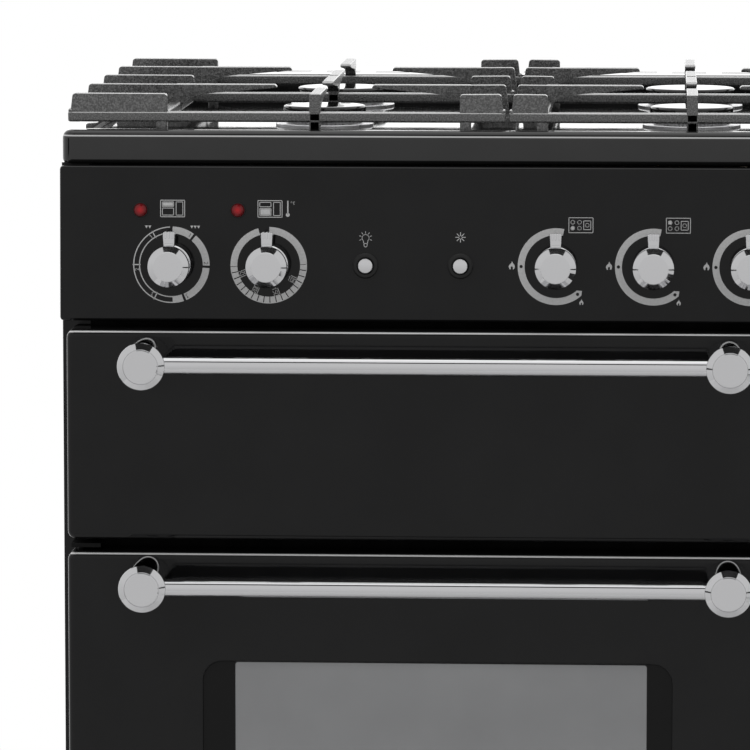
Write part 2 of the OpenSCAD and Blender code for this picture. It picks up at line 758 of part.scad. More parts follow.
// Grill element looped under the roof, and a ring element round each oven fan
module heating_elements() {
    m = grill_mouth;
    z = m[3] - 12;
    pass = 44;
    loop_r = pass / 2;
    x0 = m[0] - 165;
    x1 = m[0] + 165;
    color("dimgray") {
        for (i = [0:5]) rod_x(x0, x1, cab_front + 60 + i * pass, z, 3.2);
        for (i = [0:4]) translate([i % 2 ? x0 : x1, cab_front + 60 + (i + 0.5) * pass, z]) intersection() {
            rotate_extrude() translate([loop_r, 0]) circle(3.2);
            translate([i % 2 ? -50 : 0, -50, -5]) cube([50, 100, 10]);
        }
        for (s = [-1, 1])
            rod_y(m[0] + s * 120, cab_front + 60 + 5 * pass, cab_front + grill_depth - sheet, z, 3.2);
        for (i = [0, 1]) translate([[left_c, tall_c][i], fan_y0 + 12, fan_z[i]]) rotate([90, 0, 0])
            rotate_extrude() translate([80, 0]) circle(3.2);
        for (i = [0, 1], s = [-1, 1])
            rod_y([left_c, tall_c][i] + s * 8, fan_y0 + 12, cavity_y, fan_z[i] + 79.6, 3);
    }
}

// ---- drawer ----

module drawer_front() color(black) door_skin([left_x0, tall_x1], [drawer_z0, drawer_z1]);

// Open-topped box with a tall front plate and a slide strip on each side
module drawer_box() {
    color(enamel) {
        door_plate([left_x0, tall_x1], [drawer_z0, drawer_z1]);
        difference() {
            block([-box_x, box_x], [seal_y, drawer_rear], [drawer_z0 + 10, drawer_z0 + 100]);
            block([-box_x + sheet, box_x - sheet], [seal_y - 1, drawer_rear - sheet],
                [drawer_z0 + 12, drawer_z0 + 101]);
        }
        for (s = [-1, 1]) block([s > 0 ? box_x : -box_x - 9, s > 0 ? box_x + 9 : -box_x],
            [cab_front + 15, drawer_rear], [runner_z + 0.3, runner_z + 12]);
    }
}

module drawer_handle() handle([left_x0, tall_x1, drawer_z1]);

// Angle runners on the cabinet sides
module drawer_runners() {
    color("silver") for (s = [0, 1]) mirror([s, 0, 0]) {
        block([-half_w + sheet, -box_x - 1], [cab_front + frame_d + 2, cab_front + runner_l],
            [runner_z - 4, runner_z]);
        block([-half_w + sheet, -half_w + 2 * sheet],
            [cab_front + frame_d + 2, cab_front + runner_l], [runner_z, runner_z + 30]);
    }
}

side_panel_left();
side_panel_right();
back_panel();
base_frame();
levelling_feet();
plinth();
front_frame();
hob_tray();
rear_vent();
control_panel();
neon_lenses();
burner_bases();
burner_caps();
gas_rail();
control_switches();
door_hinges();
main_oven_liner();
tall_oven_liner();
grill_liner();
oven_shelves();
grill_pan();
heating_elements();
drawer_runners();
main_oven_fan();
tall_oven_fan();
tap_plunger(0);  // tap_plunger_1
tap_plunger(1);  // tap_plunger_2
tap_plunger(2);  // tap_plunger_3
tap_plunger(3);  // tap_plunger_4
tap_plunger(4);  // tap_plunger_5
knob(hob_knob_xs[0]);  // hob_knob_1
knob(hob_knob_xs[1]);  // hob_knob_2
knob(hob_knob_xs[2]);  // hob_knob_3
knob(hob_knob_xs[3]);  // hob_knob_4
knob(hob_knob_xs[4]);  // hob_knob_5
knob(switch_xs[0]);  // grill_knob
knob(switch_xs[1]);  // main_oven_knob
knob(switch_xs[2]);  // timer_knob
knob(switch_xs[3]);  // tall_oven_knob
push_button(button_xs[0]);  // light_button
push_button(button_xs[1]);  // ignition_button
pan_support_left();
pan_support_centre();
pan_support_right();
grill_door_panel();
grill_door_liner();
grill_door_handle();
main_door_panel();
main_door_liner();
main_door_glass();
main_door_handle();
main_door_seal();
tall_door_panel();
tall_door_liner();
tall_door_glass();
tall_door_handle();
tall_door_seal();
drawer_front();
drawer_box();
drawer_handle();
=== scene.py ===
import json
import math

import bmesh
import bpy
from mathutils import Matrix, Vector


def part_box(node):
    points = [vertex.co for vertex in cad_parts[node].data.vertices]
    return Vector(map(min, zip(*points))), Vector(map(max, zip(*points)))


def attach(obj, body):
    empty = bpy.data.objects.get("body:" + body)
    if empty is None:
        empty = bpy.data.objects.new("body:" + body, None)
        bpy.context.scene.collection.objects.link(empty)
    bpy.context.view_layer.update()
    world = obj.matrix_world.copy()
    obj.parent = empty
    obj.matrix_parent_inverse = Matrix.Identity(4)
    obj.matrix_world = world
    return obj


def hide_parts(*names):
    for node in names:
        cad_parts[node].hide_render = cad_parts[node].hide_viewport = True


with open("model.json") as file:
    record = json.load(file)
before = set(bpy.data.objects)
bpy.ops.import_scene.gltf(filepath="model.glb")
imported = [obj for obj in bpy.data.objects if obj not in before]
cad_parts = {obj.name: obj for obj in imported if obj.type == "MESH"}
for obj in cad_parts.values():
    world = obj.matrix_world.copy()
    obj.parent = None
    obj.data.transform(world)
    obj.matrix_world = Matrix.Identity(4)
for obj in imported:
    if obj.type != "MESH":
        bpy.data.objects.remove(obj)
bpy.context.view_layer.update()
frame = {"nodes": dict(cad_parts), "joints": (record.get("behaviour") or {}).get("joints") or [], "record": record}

# A millimetre in metres, and the CAD nodes and joints by name, taken before any piece is added
MM = 0.001
NODES = frame["nodes"]
JOINTS = {joint["name"]: joint for joint in frame["joints"]}


# ---- plain shapes, in millimetres ----

def box_mm(node):
    """Lowest and highest corner of a CAD node, in millimetres."""
    low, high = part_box(node)
    return low / MM, high / MM


def centre_mm(node):
    low, high = box_mm(node)
    return (low + high) / 2


def front_rect(low, high):
    """A box seen from the front, as (x0, x1, z0, z1)."""
    return low.x, high.x, low.z, high.z


def grown(rect, margin):
    """A rectangle (u0, u1, v0, v1) made larger by a margin all round."""
    return rect[0] - margin, rect[1] + margin, rect[2] - margin, rect[3] + margin


def arc(cu, cv, radius, start, end, steps=6):
    """Points on an arc, in degrees from start to end."""
    angles = [math.radians(start + (end - start) * i / steps) for i in range(steps + 1)]
    return [(cu + radius * math.cos(a), cv + radius * math.sin(a)) for a in angles]


def circle(radius, steps):
    """Points on a full circle, each once."""
    turns = [2 * math.pi * i / steps for i in range(steps)]
    return [(radius * math.cos(a), radius * math.sin(a)) for a in turns]


def polar(angle, radius):
    """Point at an angle in degrees, clockwise from the top."""
    a = math.radians(90 - angle)
    return radius * math.cos(a), radius * math.sin(a)


def rounded_loop(x0, x1, y0, y1, radius, steps=6):
    """Corner points of a rectangle with round corners, counter-clockwise."""
    points = []
    corners = [(x1 - radius, y0 + radius), (x1 - radius, y1 - radius),
               (x0 + radius, y1 - radius), (x0 + radius, y0 + radius)]
    for quarter, (cx, cy) in enumerate(corners):
        points += arc(cx, cy, radius, 90 * quarter - 90, 90 * quarter, steps)
    return points


class Solid:
    """Collects closed shells for one piece, in millimetres."""

    def __init__(self):
        self.mesh = bmesh.new()

    def loft(self, loops, ring=False):
        """Skins loops of equally many points, and closes the ends, or joins the last loop to the first."""
        rows = [[self.mesh.verts.new(point) for point in loop] for loop in loops]
        count = len(rows[0])
        pairs = list(zip(rows, rows[1:])) + ([(rows[-1], rows[0])] if ring else [])
        for low, high in pairs:
            for i in range(count):
                j = (i + 1) % count
                self.mesh.faces.new((low[i], low[j], high[j], high[i]))
        if not ring:
            self.mesh.faces.new(list(reversed(rows[0])))
            self.mesh.faces.new(rows[-1])

    def lathe(self, profile, segments=64, centre=(0, 0), ring=False):
        """Turns a profile of (radius, height) about +Z."""
        self.loft([[(centre[0] + u, centre[1] + v, h) for u, v in circle(r, segments)]
                   for r, h in profile], ring)

    def prism(self, outline, axis, low, high, bevel=0.0, steps=2):
        """Extrudes an outline along an axis and rounds its edges."""
        place = {"x": lambda u, v, w: (w, u, v), "y": lambda u, v, w: (u, w, v),
                 "z": lambda u, v, w: (u, v, w)}[axis]
        ends = [[self.mesh.verts.new(place(u, v, w)) for u, v in outline] for w in (low, high)]
        faces = [self.mesh.faces.new(list(reversed(ends[0]))), self.mesh.faces.new(ends[1])]
        for i in range(len(outline)):
            j = (i + 1) % len(outline)
            faces.append(self.mesh.faces.new((ends[0][i], ends[0][j], ends[1][j], ends[1][i])))
        if bevel:
            edges = list({edge for face in faces for edge in face.edges})
            bmesh.ops.bevel(self.mesh, geom=edges, offset=bevel, segments=steps, profile=0.5,
                            affect="EDGES", clamp_overlap=True)

    def box(self, x, y, z, bevel=0.0, steps=2):
        """A block between pairs of limits in x, y and z."""
        self.prism([(x[0], y[0]), (x[1], y[0]), (x[1], y[1]), (x[0], y[1])], "z", z[0], z[1], bevel, steps)

    def piece(self, name, body, slot, look, replaces=(), place=None, sharp=35):
        """Makes the object, gives it its look and hangs it on its body. Edges that turn by more than
        sharp degrees stay sharp."""
        bmesh.ops.recalc_face_normals(self.mesh, faces=self.mesh.faces)
        bmesh.ops.scale(self.mesh, vec=(MM, MM, MM), verts=self.mesh.verts)
        data = bpy.data.meshes.new(name)
        self.mesh.to_mesh(data)
        self.mesh.free()
        for face in data.polygons:
            face.use_smooth = True
        data.set_sharp_from_angle(angle=math.radians(sharp))
        data.materials.append(look)
        made = bpy.data.objects.new(name, data)
        bpy.context.scene.collection.objects.link(made)
        made.matrix_world = place or Matrix.Identity(4)
        weighted = made.modifiers.new("even_shading", "WEIGHTED_NORMAL")
        weighted.keep_sharp = True
        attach(made, body)
        if replaces:
            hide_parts(*replaces)
        return made


# ---- materials ----

# Sockets of a colour mix node: first and second input, and its result
MIX_FIRST, MIX_SECOND, MIX_RESULT = 6, 7, 2


def grey_ramp(tree, source, stops):
    """Turns a number into a grey; stops are (place, level), in rising order."""
    node = tree.nodes.new("ShaderNodeValToRGB")
    for k, (place, level) in enumerate(stops):
        stop = node.color_ramp.elements[k] if k < 2 else node.color_ramp.elements.new(place)
        stop.position = place
        stop.color = (level, level, level, 1)
    tree.links.new(source, node.inputs["Fac"])
    return node.outputs["Color"]


class Look:
    """A principled material with nodes that vary it over the surface."""

    def __init__(self, name, color, roughness, metallic=0.0, **sockets):
        self.material = bpy.data.materials.new(name)
        self.material.use_nodes = True
        self.tree = self.material.node_tree
        self.shader = self.tree.nodes["Principled BSDF"]
        self.set(self.shader, Base_Color=(*color, 1), Roughness=roughness, Metallic=metallic, **sockets)
        # Place on the piece itself, which carries every texture
        self.place = self.tree.nodes.new("ShaderNodeTexCoord").outputs["Object"]

    def set(self, node, **sockets):
        """Sets sockets by name, with an underscore for each space."""
        for key, value in sockets.items():
            node.inputs[key.replace("_", " ")].default_value = value

    def texture(self, kind, **sockets):
        """A texture node over the object's own space."""
        node = self.tree.nodes.new(kind)
        self.set(node, **sockets)
        self.tree.links.new(self.place, node.inputs["Vector"])
        return node

    def noise(self, scale, detail=3.0, rough=0.55):
        return self.texture("ShaderNodeTexNoise", Scale=scale, Detail=detail, Roughness=rough).outputs["Fac"]

    def cells(self, scale, output="Distance"):
        return self.texture("ShaderNodeTexVoronoi", Scale=scale).outputs[output]

    def rings(self, scale):
        """Turning marks round the piece's own axis."""
        node = self.texture("ShaderNodeTexWave", Scale=scale, Distortion=0.0)
        node.wave_type = "RINGS"
        node.rings_direction = "Z"
        return node.outputs["Fac"]

    def stripes(self, scale):
        """Slanting stripes, as of a braid."""
        node = self.texture("ShaderNodeTexWave", Scale=scale, Distortion=0.6)
        node.bands_direction = "DIAGONAL"
        return node.outputs["Fac"]

    def reach(self):
        """Distance from the piece's own axis, in centimetres."""
        flat = self.tree.nodes.new("ShaderNodeVectorMath")
        flat.operation = "MULTIPLY"
        flat.inputs[1].default_value = (100, 100, 0)
        self.tree.links.new(self.place, flat.inputs[0])
        node = self.tree.nodes.new("ShaderNodeVectorMath")
        node.operation = "LENGTH"
        self.tree.links.new(flat.outputs["Vector"], node.inputs[0])
        return node.outputs["Value"]

    def vary(self, source, socket, low, high, start=0.3, end=0.7):
        """Drives a socket of the shader from low to high as the source goes from start to end."""
        if socket == "Base Color":
            node = self.tree.nodes.new("ShaderNodeValToRGB")
            for stop, position, color in zip(node.color_ramp.elements, (start, end), (low, high)):
                stop.position = position
                stop.color = (*color, 1)
            self.tree.links.new(source, node.inputs["Fac"])
            self.tree.links.new(node.outputs["Color"], self.shader.inputs[socket])
            return self
        node = self.tree.nodes.new("ShaderNodeMapRange")
        self.set(node, From_Min=start, From_Max=end, To_Min=low, To_Max=high)
        self.tree.links.new(source, node.inputs["Value"])
        self.tree.links.new(node.outputs["Result"], self.shader.inputs[socket])
        return self

    def paint_edge_highlight(self, stops, level):
        """Paints a highlight into the base colour of rounded upper edges, lightening them towards a grey; stops
        are (upward part of the normal, amount).
        """
        axes = self.tree.nodes.new("ShaderNodeSeparateXYZ")
        self.tree.links.new(self.place.node.outputs["Normal"], axes.inputs["Vector"])
        base = self.shader.inputs["Base Color"]
        mix = self.tree.nodes.new("ShaderNodeMix")
        mix.data_type = "RGBA"
        mix.inputs[MIX_SECOND].default_value = (level, level, level, 1)
        self.tree.links.new(grey_ramp(self.tree, axes.outputs["Z"], stops), mix.inputs["Factor"])
        self.tree.links.new(base.links[0].from_socket, mix.inputs[MIX_FIRST])
        self.tree.links.new(mix.outputs[MIX_RESULT], base)
        return self

    def bump(self, source, height_mm, strength=1.0):
        """Raises the surface by the source, over what earlier calls raised."""
        node = self.tree.nodes.new("ShaderNodeBump")
        self.set(node, Distance=height_mm * MM, Strength=strength)
        self.tree.links.new(source, node.inputs["Height"])
        normal = self.shader.inputs["Normal"]
        if normal.is_linked:
            self.tree.links.new(normal.links[0].from_socket, node.inputs["Normal"])
        self.tree.links.new(node.outputs["Normal"], normal)
        return self


# Painted highlights on upward-facing edges, as (upward part of the normal, amount)
DOOR_PAINTED_HIGHLIGHT = [(0.0, 0.0), (0.6, 0.0), (0.69, 1.0), (0.79, 1.0), (0.88, 0.0)]
HOB_PAINTED_HIGHLIGHT = [(0.0, 0.0), (0.2, 0.0), (0.28, 1.0), (0.36, 1.0), (0.44, 0.0)]
CASTING_PAINTED_HIGHLIGHT = [(0.0, 0.0), (0.3, 0.0), (0.5, 0.85), (0.85, 0.85), (0.97, 0.0)]


def gloss_enamel(name="gloss_enamel", edge=0.45):
    look = Look(name, (0.004, 0.004, 0.0042), 0.12, Specular_IOR_Level=0.22)
    look.vary(look.noise(18), "Base Color", (0.0036, 0.0036, 0.0038), (0.0055, 0.0055, 0.0057))
    # Upper door edges get a painted highlight in the base colour, at the level edge
    look.paint_edge_highlight(DOOR_PAINTED_HIGHLIGHT, edge)
    look.vary(look.noise(40), "Roughness", 0.03, 0.08)
    return look.bump(look.noise(260, 2), 0.004).material


def hob_enamel(name="hob_enamel", edge=0.4):
    look = Look(name, (0.006, 0.006, 0.006), 0.04, Specular_IOR_Level=0.4, IOR=1.6)
    look.vary(look.noise(25), "Base Color", (0.005, 0.005, 0.005), (0.008, 0.008, 0.008))
    # The rim's front bend gets a painted highlight in the base colour, at the level edge
    look.paint_edge_highlight(HOB_PAINTED_HIGHLIGHT, edge)
    look.vary(look.noise(60), "Roughness", 0.03, 0.06)
    return look.bump(look.noise(300, 2), 0.001).material


def cavity_enamel():
    look = Look("cavity_enamel", (0.012, 0.013, 0.017), 0.22, Specular_IOR_Level=0.5)
    look.vary(look.cells(420), "Base Color", (0.32, 0.34, 0.38), (0.012, 0.013, 0.017), 0.05, 0.14)
    look.vary(look.noise(30), "Roughness", 0.18, 0.32)
    return look.bump(look.noise(200, 3), 0.02).material


def galvanised():
    look = Look("galvanised", (0.5, 0.51, 0.52), 0.42, 1.0)
    look.vary(look.cells(110, "Color"), "Base Color", (0.5, 0.51, 0.52), (0.57, 0.58, 0.59), 0.2, 0.8)
    look.vary(look.cells(110), "Roughness", 0.38, 0.46)
    return look.bump(look.noise(500, 3), 0.01).material


def chrome():
    look = Look("chrome", (0.6, 0.6, 0.61), 0.1, 1.0)
    look.vary(look.noise(90), "Roughness", 0.04, 0.09)
    return look.bump(look.noise(700, 2), 0.0012).material


def turned_chrome():
    look = Look("turned_chrome", (0.6, 0.6, 0.61), 0.06, 1.0)
    look.vary(look.noise(140), "Roughness", 0.04, 0.09)
    return look.bump(look.rings(780), 0.001, 0.3).material


def bright_wire():
    look = Look("bright_wire", (0.66, 0.66, 0.67), 0.16, 1.0)
    look.vary(look.noise(120), "Roughness", 0.12, 0.24)
    return look.bump(look.noise(500, 2), 0.004).material


def cast_iron():
    look = Look("cast_iron", (0.03, 0.03, 0.03), 0.32, 0.0, Specular_IOR_Level=1.0)
    # The speckle in the base colour is partly the casting's grain and partly painted glints: its light flecks
    # stand in for sparkle
    look.vary(look.noise(1000, 3), "Base Color", (0.012, 0.012, 0.012), (0.125, 0.125, 0.125), 0.42, 0.68)
    # Top edges and bevels get a painted highlight in the base colour
    look.paint_edge_highlight(CASTING_PAINTED_HIGHLIGHT, 0.5)
    look.vary(look.noise(700, 2), "Roughness", 0.2, 0.36)
    look.bump(look.noise(140, 3), 0.1)
    return look.bump(look.noise(900, 3, 0.6), 0.1).material


def burner_alloy():
    look = Look("burner_alloy", (0.56, 0.56, 0.57), 0.3, 1.0)
    look.vary(look.noise(260, 4), "Roughness", 0.24, 0.4)
    look.bump(look.rings(400), 0.006, 0.5)
    return look.bump(look.noise(900, 3), 0.02).material


def brass():
    look = Look("brass", (0.62, 0.42, 0.17), 0.3, 1.0)
    look.vary(look.noise(60, 4), "Base Color", (0.48, 0.32, 0.13), (0.7, 0.5, 0.22))
    look.vary(look.noise(300), "Roughness", 0.22, 0.4)
    return look.bump(look.noise(800), 0.01).material


def turned_steel():
    look = Look("turned_steel", (0.5, 0.5, 0.51), 0.3, 1.0)
    look.vary(look.noise(300), "Roughness", 0.22, 0.36)
    return look.bump(look.noise(900), 0.01).material


def heated_steel():
    look = Look("heated_steel", (0.22, 0.21, 0.2), 0.5, 1.0)
    look.vary(look.noise(50, 4), "Base Color", (0.12, 0.11, 0.11), (0.3, 0.28, 0.26))
    look.vary(look.noise(200), "Roughness", 0.4, 0.6)
    return look.bump(look.noise(700), 0.02).material


def moulded_black(name="moulded_black", roughness=0.35):
    look = Look(name, (0.008, 0.008, 0.008), roughness, Specular_IOR_Level=0.25)
    look.vary(look.noise(300), "Roughness", roughness * 0.8, roughness * 1.25)
    return look.bump(look.noise(1200, 3), 0.008).material


def neon_red():
    look = Look("neon_red", (0.3, 0.004, 0.006), 0.1, 0.0, Specular_IOR_Level=0.3,
                Emission_Color=(0.5, 0.008, 0.01, 1), Emission_Strength=0.04)
    # The base colour, bright at the centre and dark towards the rim, is painted glow in the lens and painted shade
    # at its edge
    look.vary(look.reach(), "Base Color", (0.3, 0.004, 0.008), (0.04, 0.001, 0.002), 0.05, 0.42)
    return look.bump(look.cells(900), 0.02, 0.3).material


def reflective_glass():
    look = Look("reflective_glass", (0.15, 0.152, 0.155), 0.05, 0.0, Transmission_Weight=0.12,
                Specular_IOR_Level=0.6)
    look.vary(look.noise(14), "Base Color", (0.2, 0.202, 0.206), (0.225, 0.228, 0.232))
    look.vary(look.noise(30), "Roughness", 0.03, 0.08)
    return look.bump(look.noise(40, 1), 0.004).material


def glass_print():
    look = Look("glass_print", (0.006, 0.006, 0.006), 0.2, Specular_IOR_Level=0.12)
    look.vary(look.noise(80), "Roughness", 0.15, 0.26)
    return look.bump(look.noise(600), 0.002).material


def panel_print():
    look = Look("panel_print", (0.33, 0.33, 0.33), 0.5)
    look.vary(look.noise(700), "Base Color", (0.36, 0.36, 0.36), (0.43, 0.43, 0.43))
    return look.bump(look.noise(2500), 0.01).material


def braided_fibre():
    look = Look("braided_fibre", (0.2, 0.2, 0.19), 0.85)
    look.vary(look.stripes(160), "Base Color", (0.12, 0.12, 0.115), (0.3, 0.3, 0.29))
    look.bump(look.stripes(160), 0.3)
    return look.bump(look.noise(1500, 3), 0.1).material


def painted_shade_enamel():
    # Painted shade: a near-black, matt look for the front frame, which sits in the shaded gap between panel and
    # doors
    look = Look("painted_shade_enamel", (0.001, 0.001, 0.001), 0.5, Specular_IOR_Level=0.05)
    look.vary(look.noise(60), "Roughness", 0.4, 0.6)
    return look.bump(look.noise(300), 0.01).material


def hinge_painted_shade():
    # Painted shade: near-black hinges, which sit in the shaded gap beside the doors
    look = Look("hinge_painted_shade", (0.004, 0.004, 0.004), 0.45, Specular_IOR_Level=0.1)
    look.vary(look.noise(90), "Base Color", (0.003, 0.003, 0.003), (0.006, 0.006, 0.006))
    look.vary(look.noise(200), "Roughness", 0.38, 0.55)
    return look.bump(look.noise(700), 0.01).material


ENAMEL, HOB, CAVITY, GALVANISED = gloss_enamel(), hob_enamel(), cavity_enamel(), galvanised()
# Burner caps and the panel are flat to the eye, with next to no painted edge highlight
CAP, PANEL = hob_enamel("cap_gloss", 0.01), gloss_enamel("panel_enamel", 0.01)
CHROME, TURNED, WIRE, IRON = chrome(), turned_chrome(), bright_wire(), cast_iron()
ALLOY, BRASS, STEEL, HEATED = burner_alloy(), brass(), turned_steel(), heated_steel()
MOULDED, RUBBER, NEON = moulded_black(), moulded_black("foot_rubber", 0.6), neon_red()
GLASS, BORDER, PRINT, BRAID = reflective_glass(), glass_print(), panel_print(), braided_fibre()
SLOT_LOOKS = {"black_enamel": ENAMEL, "galvanised_steel": GALVANISED, "foot_plastic": RUBBER,
              "neon_red": NEON, "burner_alloy": ALLOY, "cap_enamel": CAP, "brass": BRASS,
              "tap_steel": STEEL, "switch_plastic": MOULDED, "oven_enamel": CAVITY, "chrome": WIRE,
              "element_steel": HEATED, "cast_iron": IRON, "smoked_glass": GLASS, "gasket_fibre": BRAID}


def dress_cad_nodes():
    """Gives every CAD node the look of its material slot, but the front frame and the hinges a near-black look of
    painted shade; replaced ones are hidden later.
    """
    looks = {part["node"]: SLOT_LOOKS[part["material_slot"]] for part in frame["record"]["subparts"]}
    # Painted shade for the front frame and the hinges, in the dark gaps round the doors
    looks.update(front_frame=painted_shade_enamel(), door_hinges=hinge_painted_shade())
    for node, look in looks.items():
        NODES[node].data.materials.clear()
        NODES[node].data.materials.append(look)


# ---- the control panel's plane ----

KNOB_JOINT = JOINTS["hob_knob_1_turn"]
PANEL_POINT = Vector(KNOB_JOINT["pos_m"]) / MM
PANEL_NORMAL = Vector(KNOB_JOINT["axis"]).normalized()
PANEL_UP = Vector((1, 0, 0)).cross(PANEL_NORMAL) * -1


def on_panel(x, z):
    """Frame at a point of the panel, X to the right, Y up the panel and Z outward, in metres."""
    rise = z - PANEL_POINT.z
    y = PANEL_POINT.y - PANEL_NORMAL.z * rise / PANEL_NORMAL.y
    turn = Matrix((Vector((1, 0, 0)), PANEL_UP, PANEL_NORMAL)).transposed().to_4x4()
    return Matrix.Translation(Vector((x, y, z)) * MM) @ turn


def knob_place(joint):
    """Where a knob's axis meets the panel, as (x, z) in millimetres."""
    point = Vector(JOINTS[joint]["pos_m"]) / MM
    return point.x, point.z


# ---- pressed sheets ----

# Sheet thickness and the radius of the doors' front edges
SHEET, EDGE = 2.0, 5.0
# How far the visual pieces reach past the CAD ones, which narrows the gaps between them
DOOR_RISE, HOB_DROP, PANEL_DROP, PANEL_RISE = 1.4, 1.2, 1.2, 0.7
# How far a glass reaches past its window, and the window's corner radius
GLASS_LAP, WINDOW_CORNER = 15, 14


def pressed(solid, rect, radius, profile, axis, hole=None):
    """A pressed sheet: profile gives (inset, depth) from its face's edge to its returns and back inside.
    hole is a list of (rectangle, radius, depth) that line a window, from the inner face to the outer."""
    place = (lambda u, v, w: (u, w, v)) if axis == "y" else (lambda u, v, w: (u, v, w))
    rows = [(grown(rect, -inset), max(radius - inset, 1.0), depth) for inset, depth in profile]
    loops = [[place(u, v, depth) for u, v in rounded_loop(*edges, corner)]
             for edges, corner, depth in rows + (hole or [])]
    solid.loft(loops, ring=bool(hole))


def door_profile(face, back):
    """Round front edge, straight returns, and the same again inside the sheet."""
    outer = arc(EDGE, face + EDGE, EDGE, 270, 180)
    inner = arc(EDGE, face + EDGE, EDGE - SHEET, 180, 270)
    return outer + [(0, back), (SHEET, back)] + inner


def window_of(door):
    """Window of a door as (x0, x1, z0, z1), or None for a door without glass."""
    if door + "_glass" not in NODES:
        return None
    return grown(front_rect(*box_mm(door + "_glass")), -GLASS_LAP)


def door_panel(node, body, window=None, lift=0.0):
    """Outer sheet of a door or drawer, with a rolled edge round its window."""
    low, high = box_mm(node)
    hole = None
    if window:
        hole = [(grown(window, margin), WINDOW_CORNER + margin, low.y + depth)
                for margin, depth in ((0, SHEET), (0, 1.6), (0.3, 0.9), (0.9, 0.3), (2, 0))]
    solid = Solid()
    face = (low.x, high.x, low.z, high.z + lift)
    pressed(solid, face, 6, door_profile(low.y, high.y), "y", hole)
    solid.piece(node + "_skin", body, "black_enamel", ENAMEL, [node])


def door_liner(node, body, window=None):
    """Flat inner plate with a raised, rounded field and an opening behind the window."""
    low, high = box_mm(node)
    face, back = high.y, low.y
    profile = [(24, back), (1, back), (0, back + 1), (0, face - 2.4), (1, face - 1.6), (14, face - 1.6),
               (17, face - 0.9), (20, face)]
    hole = None
    if window:
        opening = grown(window, -20)
        hole = [(grown(opening, margin), WINDOW_CORNER + margin, y)
                for margin, y in ((3, face), (1, face - 0.6), (0, face - 1.5), (0, back))]
    solid = Solid()
    pressed(solid, front_rect(low, high), 4, profile, "y", hole)
    solid.piece(node + "_pressing", body, "oven_enamel", CAVITY, [node])


def glass_border(door, body):
    """Black print round the clear part of a window, on the glass's outer face."""
    window = window_of(door)
    face = box_mm(door + "_glass")[0].y
    clear = (window[0] + 23, window[1] - 18, window[2] + 22, window[3] - 0.5)
    rim = grown(window, GLASS_LAP - 2)
    thickness = 0.15
    loops = [(rim, WINDOW_CORNER, face), (rim, WINDOW_CORNER, face - thickness),
             (clear, 2, face - thickness), (clear, 2, face)]
    solid = Solid()
    solid.loft([[(u, y, v) for u, v in rounded_loop(*edges, corner)]
                for edges, corner, y in loops], ring=True)
    solid.piece(door + "_glass_print", body, "smoked_glass", BORDER)


def gasket(node, body):
    """Braided rope seal that follows the mouth of an oven."""
    low, high = box_mm(node)
    rope_r, corner = 4.6, 16
    middle, squash = (low.y + high.y) / 2, (high.y - low.y) / (2 * rope_r)
    loops = []
    for u, w in arc(0, 0, rope_r, 0, 337.5, 15):
        inset = rope_r - u
        edges = grown(front_rect(low, high), -inset)
        loops.append([(x, middle + w * squash, z) for x, z in rounded_loop(*edges, corner - inset)])
    solid = Solid()
    solid.loft(loops, ring=True)
    solid.piece(node + "_rope", body, "gasket_fibre", BRAID, [node])


def handle(node, body):
    """Two turned bosses with a bar between them."""
    low, high = box_mm(node)
    door, reach = high.y, high.y - low.y
    boss_r, middle = (high.z - low.z) / 2, (low.z + high.z) / 2
    bar_r, bar_y = 6.4, low.y + 11
    stem = [(boss_r - 0.6, 0), (boss_r, 0.6), (boss_r, reach - 3.6)]
    chamfer = [(boss_r - 0.2, reach - 3.2), (boss_r - 4.3, reach - 0.7)]
    groove = [(boss_r - 4.5, reach - 1.3), (boss_r - 4.8, reach - 1.3)]
    face = [(boss_r - 4.9, reach - 0.2), (boss_r - 5.2, reach), (2, reach)]
    ends = (low.x + boss_r, high.x - boss_r)
    solid = Solid()
    for x in ends:
        solid.loft([[(x + u, door - h, middle + v) for u, v in circle(r, 96)]
                    for r, h in stem + chamfer + groove + face])
    solid.loft([[(x, bar_y + u, middle + v) for u, v in circle(bar_r, 48)] for x in ends])
    solid.piece(node + "_turned", body, "chrome", CHROME, [node], sharp=20)


def hob():
    """Pressed hob top: folded lower edge, round rim and a recessed floor."""
    low, high = box_mm("hob_tray")
    top, bottom = high.z, low.z - HOB_DROP
    floor = box_mm("burner_bases")[1].z - 9
    rim, fold = 6.0, 4.0
    under = [(60, floor - SHEET), (19, floor - SHEET), (16.5, top - SHEET), (5, top - SHEET),
             (SHEET, top - 6), (SHEET, bottom + fold)]
    folded = arc(fold, bottom + fold, fold - SHEET, 180, 270, 3) + arc(fold, bottom + fold, fold, 270, 180, 5)
    over = arc(rim, top - rim, rim, 180, 90, 7)
    over += [(17.5, top), (18.4, top - 0.4), (19, top - 1.2), (19.8, floor + 1), (20.4, floor + 0.3),
             (21.2, floor), (60, floor)]
    solid = Solid()
    pressed(solid, (low.x, high.x, low.y, high.y), 9, under + folded + over, "z")
    solid.piece("hob_tray_pressing", "cabinet", "black_enamel", HOB, ["hob_tray"])


def control_panel():
    """Tilted panel with round edges: one closed solid, which the spindles pass through."""
    low, high = box_mm("control_panel")
    bottom, top = low.z - PANEL_DROP, high.z + PANEL_RISE
    top_y = on_panel(0, top).translation.y / MM
    solid = Solid()
    solid.prism([(high.y, bottom), (low.y, bottom), (top_y, top), (high.y, top)], "x", low.x, high.x, 2.6, 4)
    solid.piece("control_panel_skin", "cabinet", "black_enamel", PANEL, ["control_panel"])


# ---- controls ----

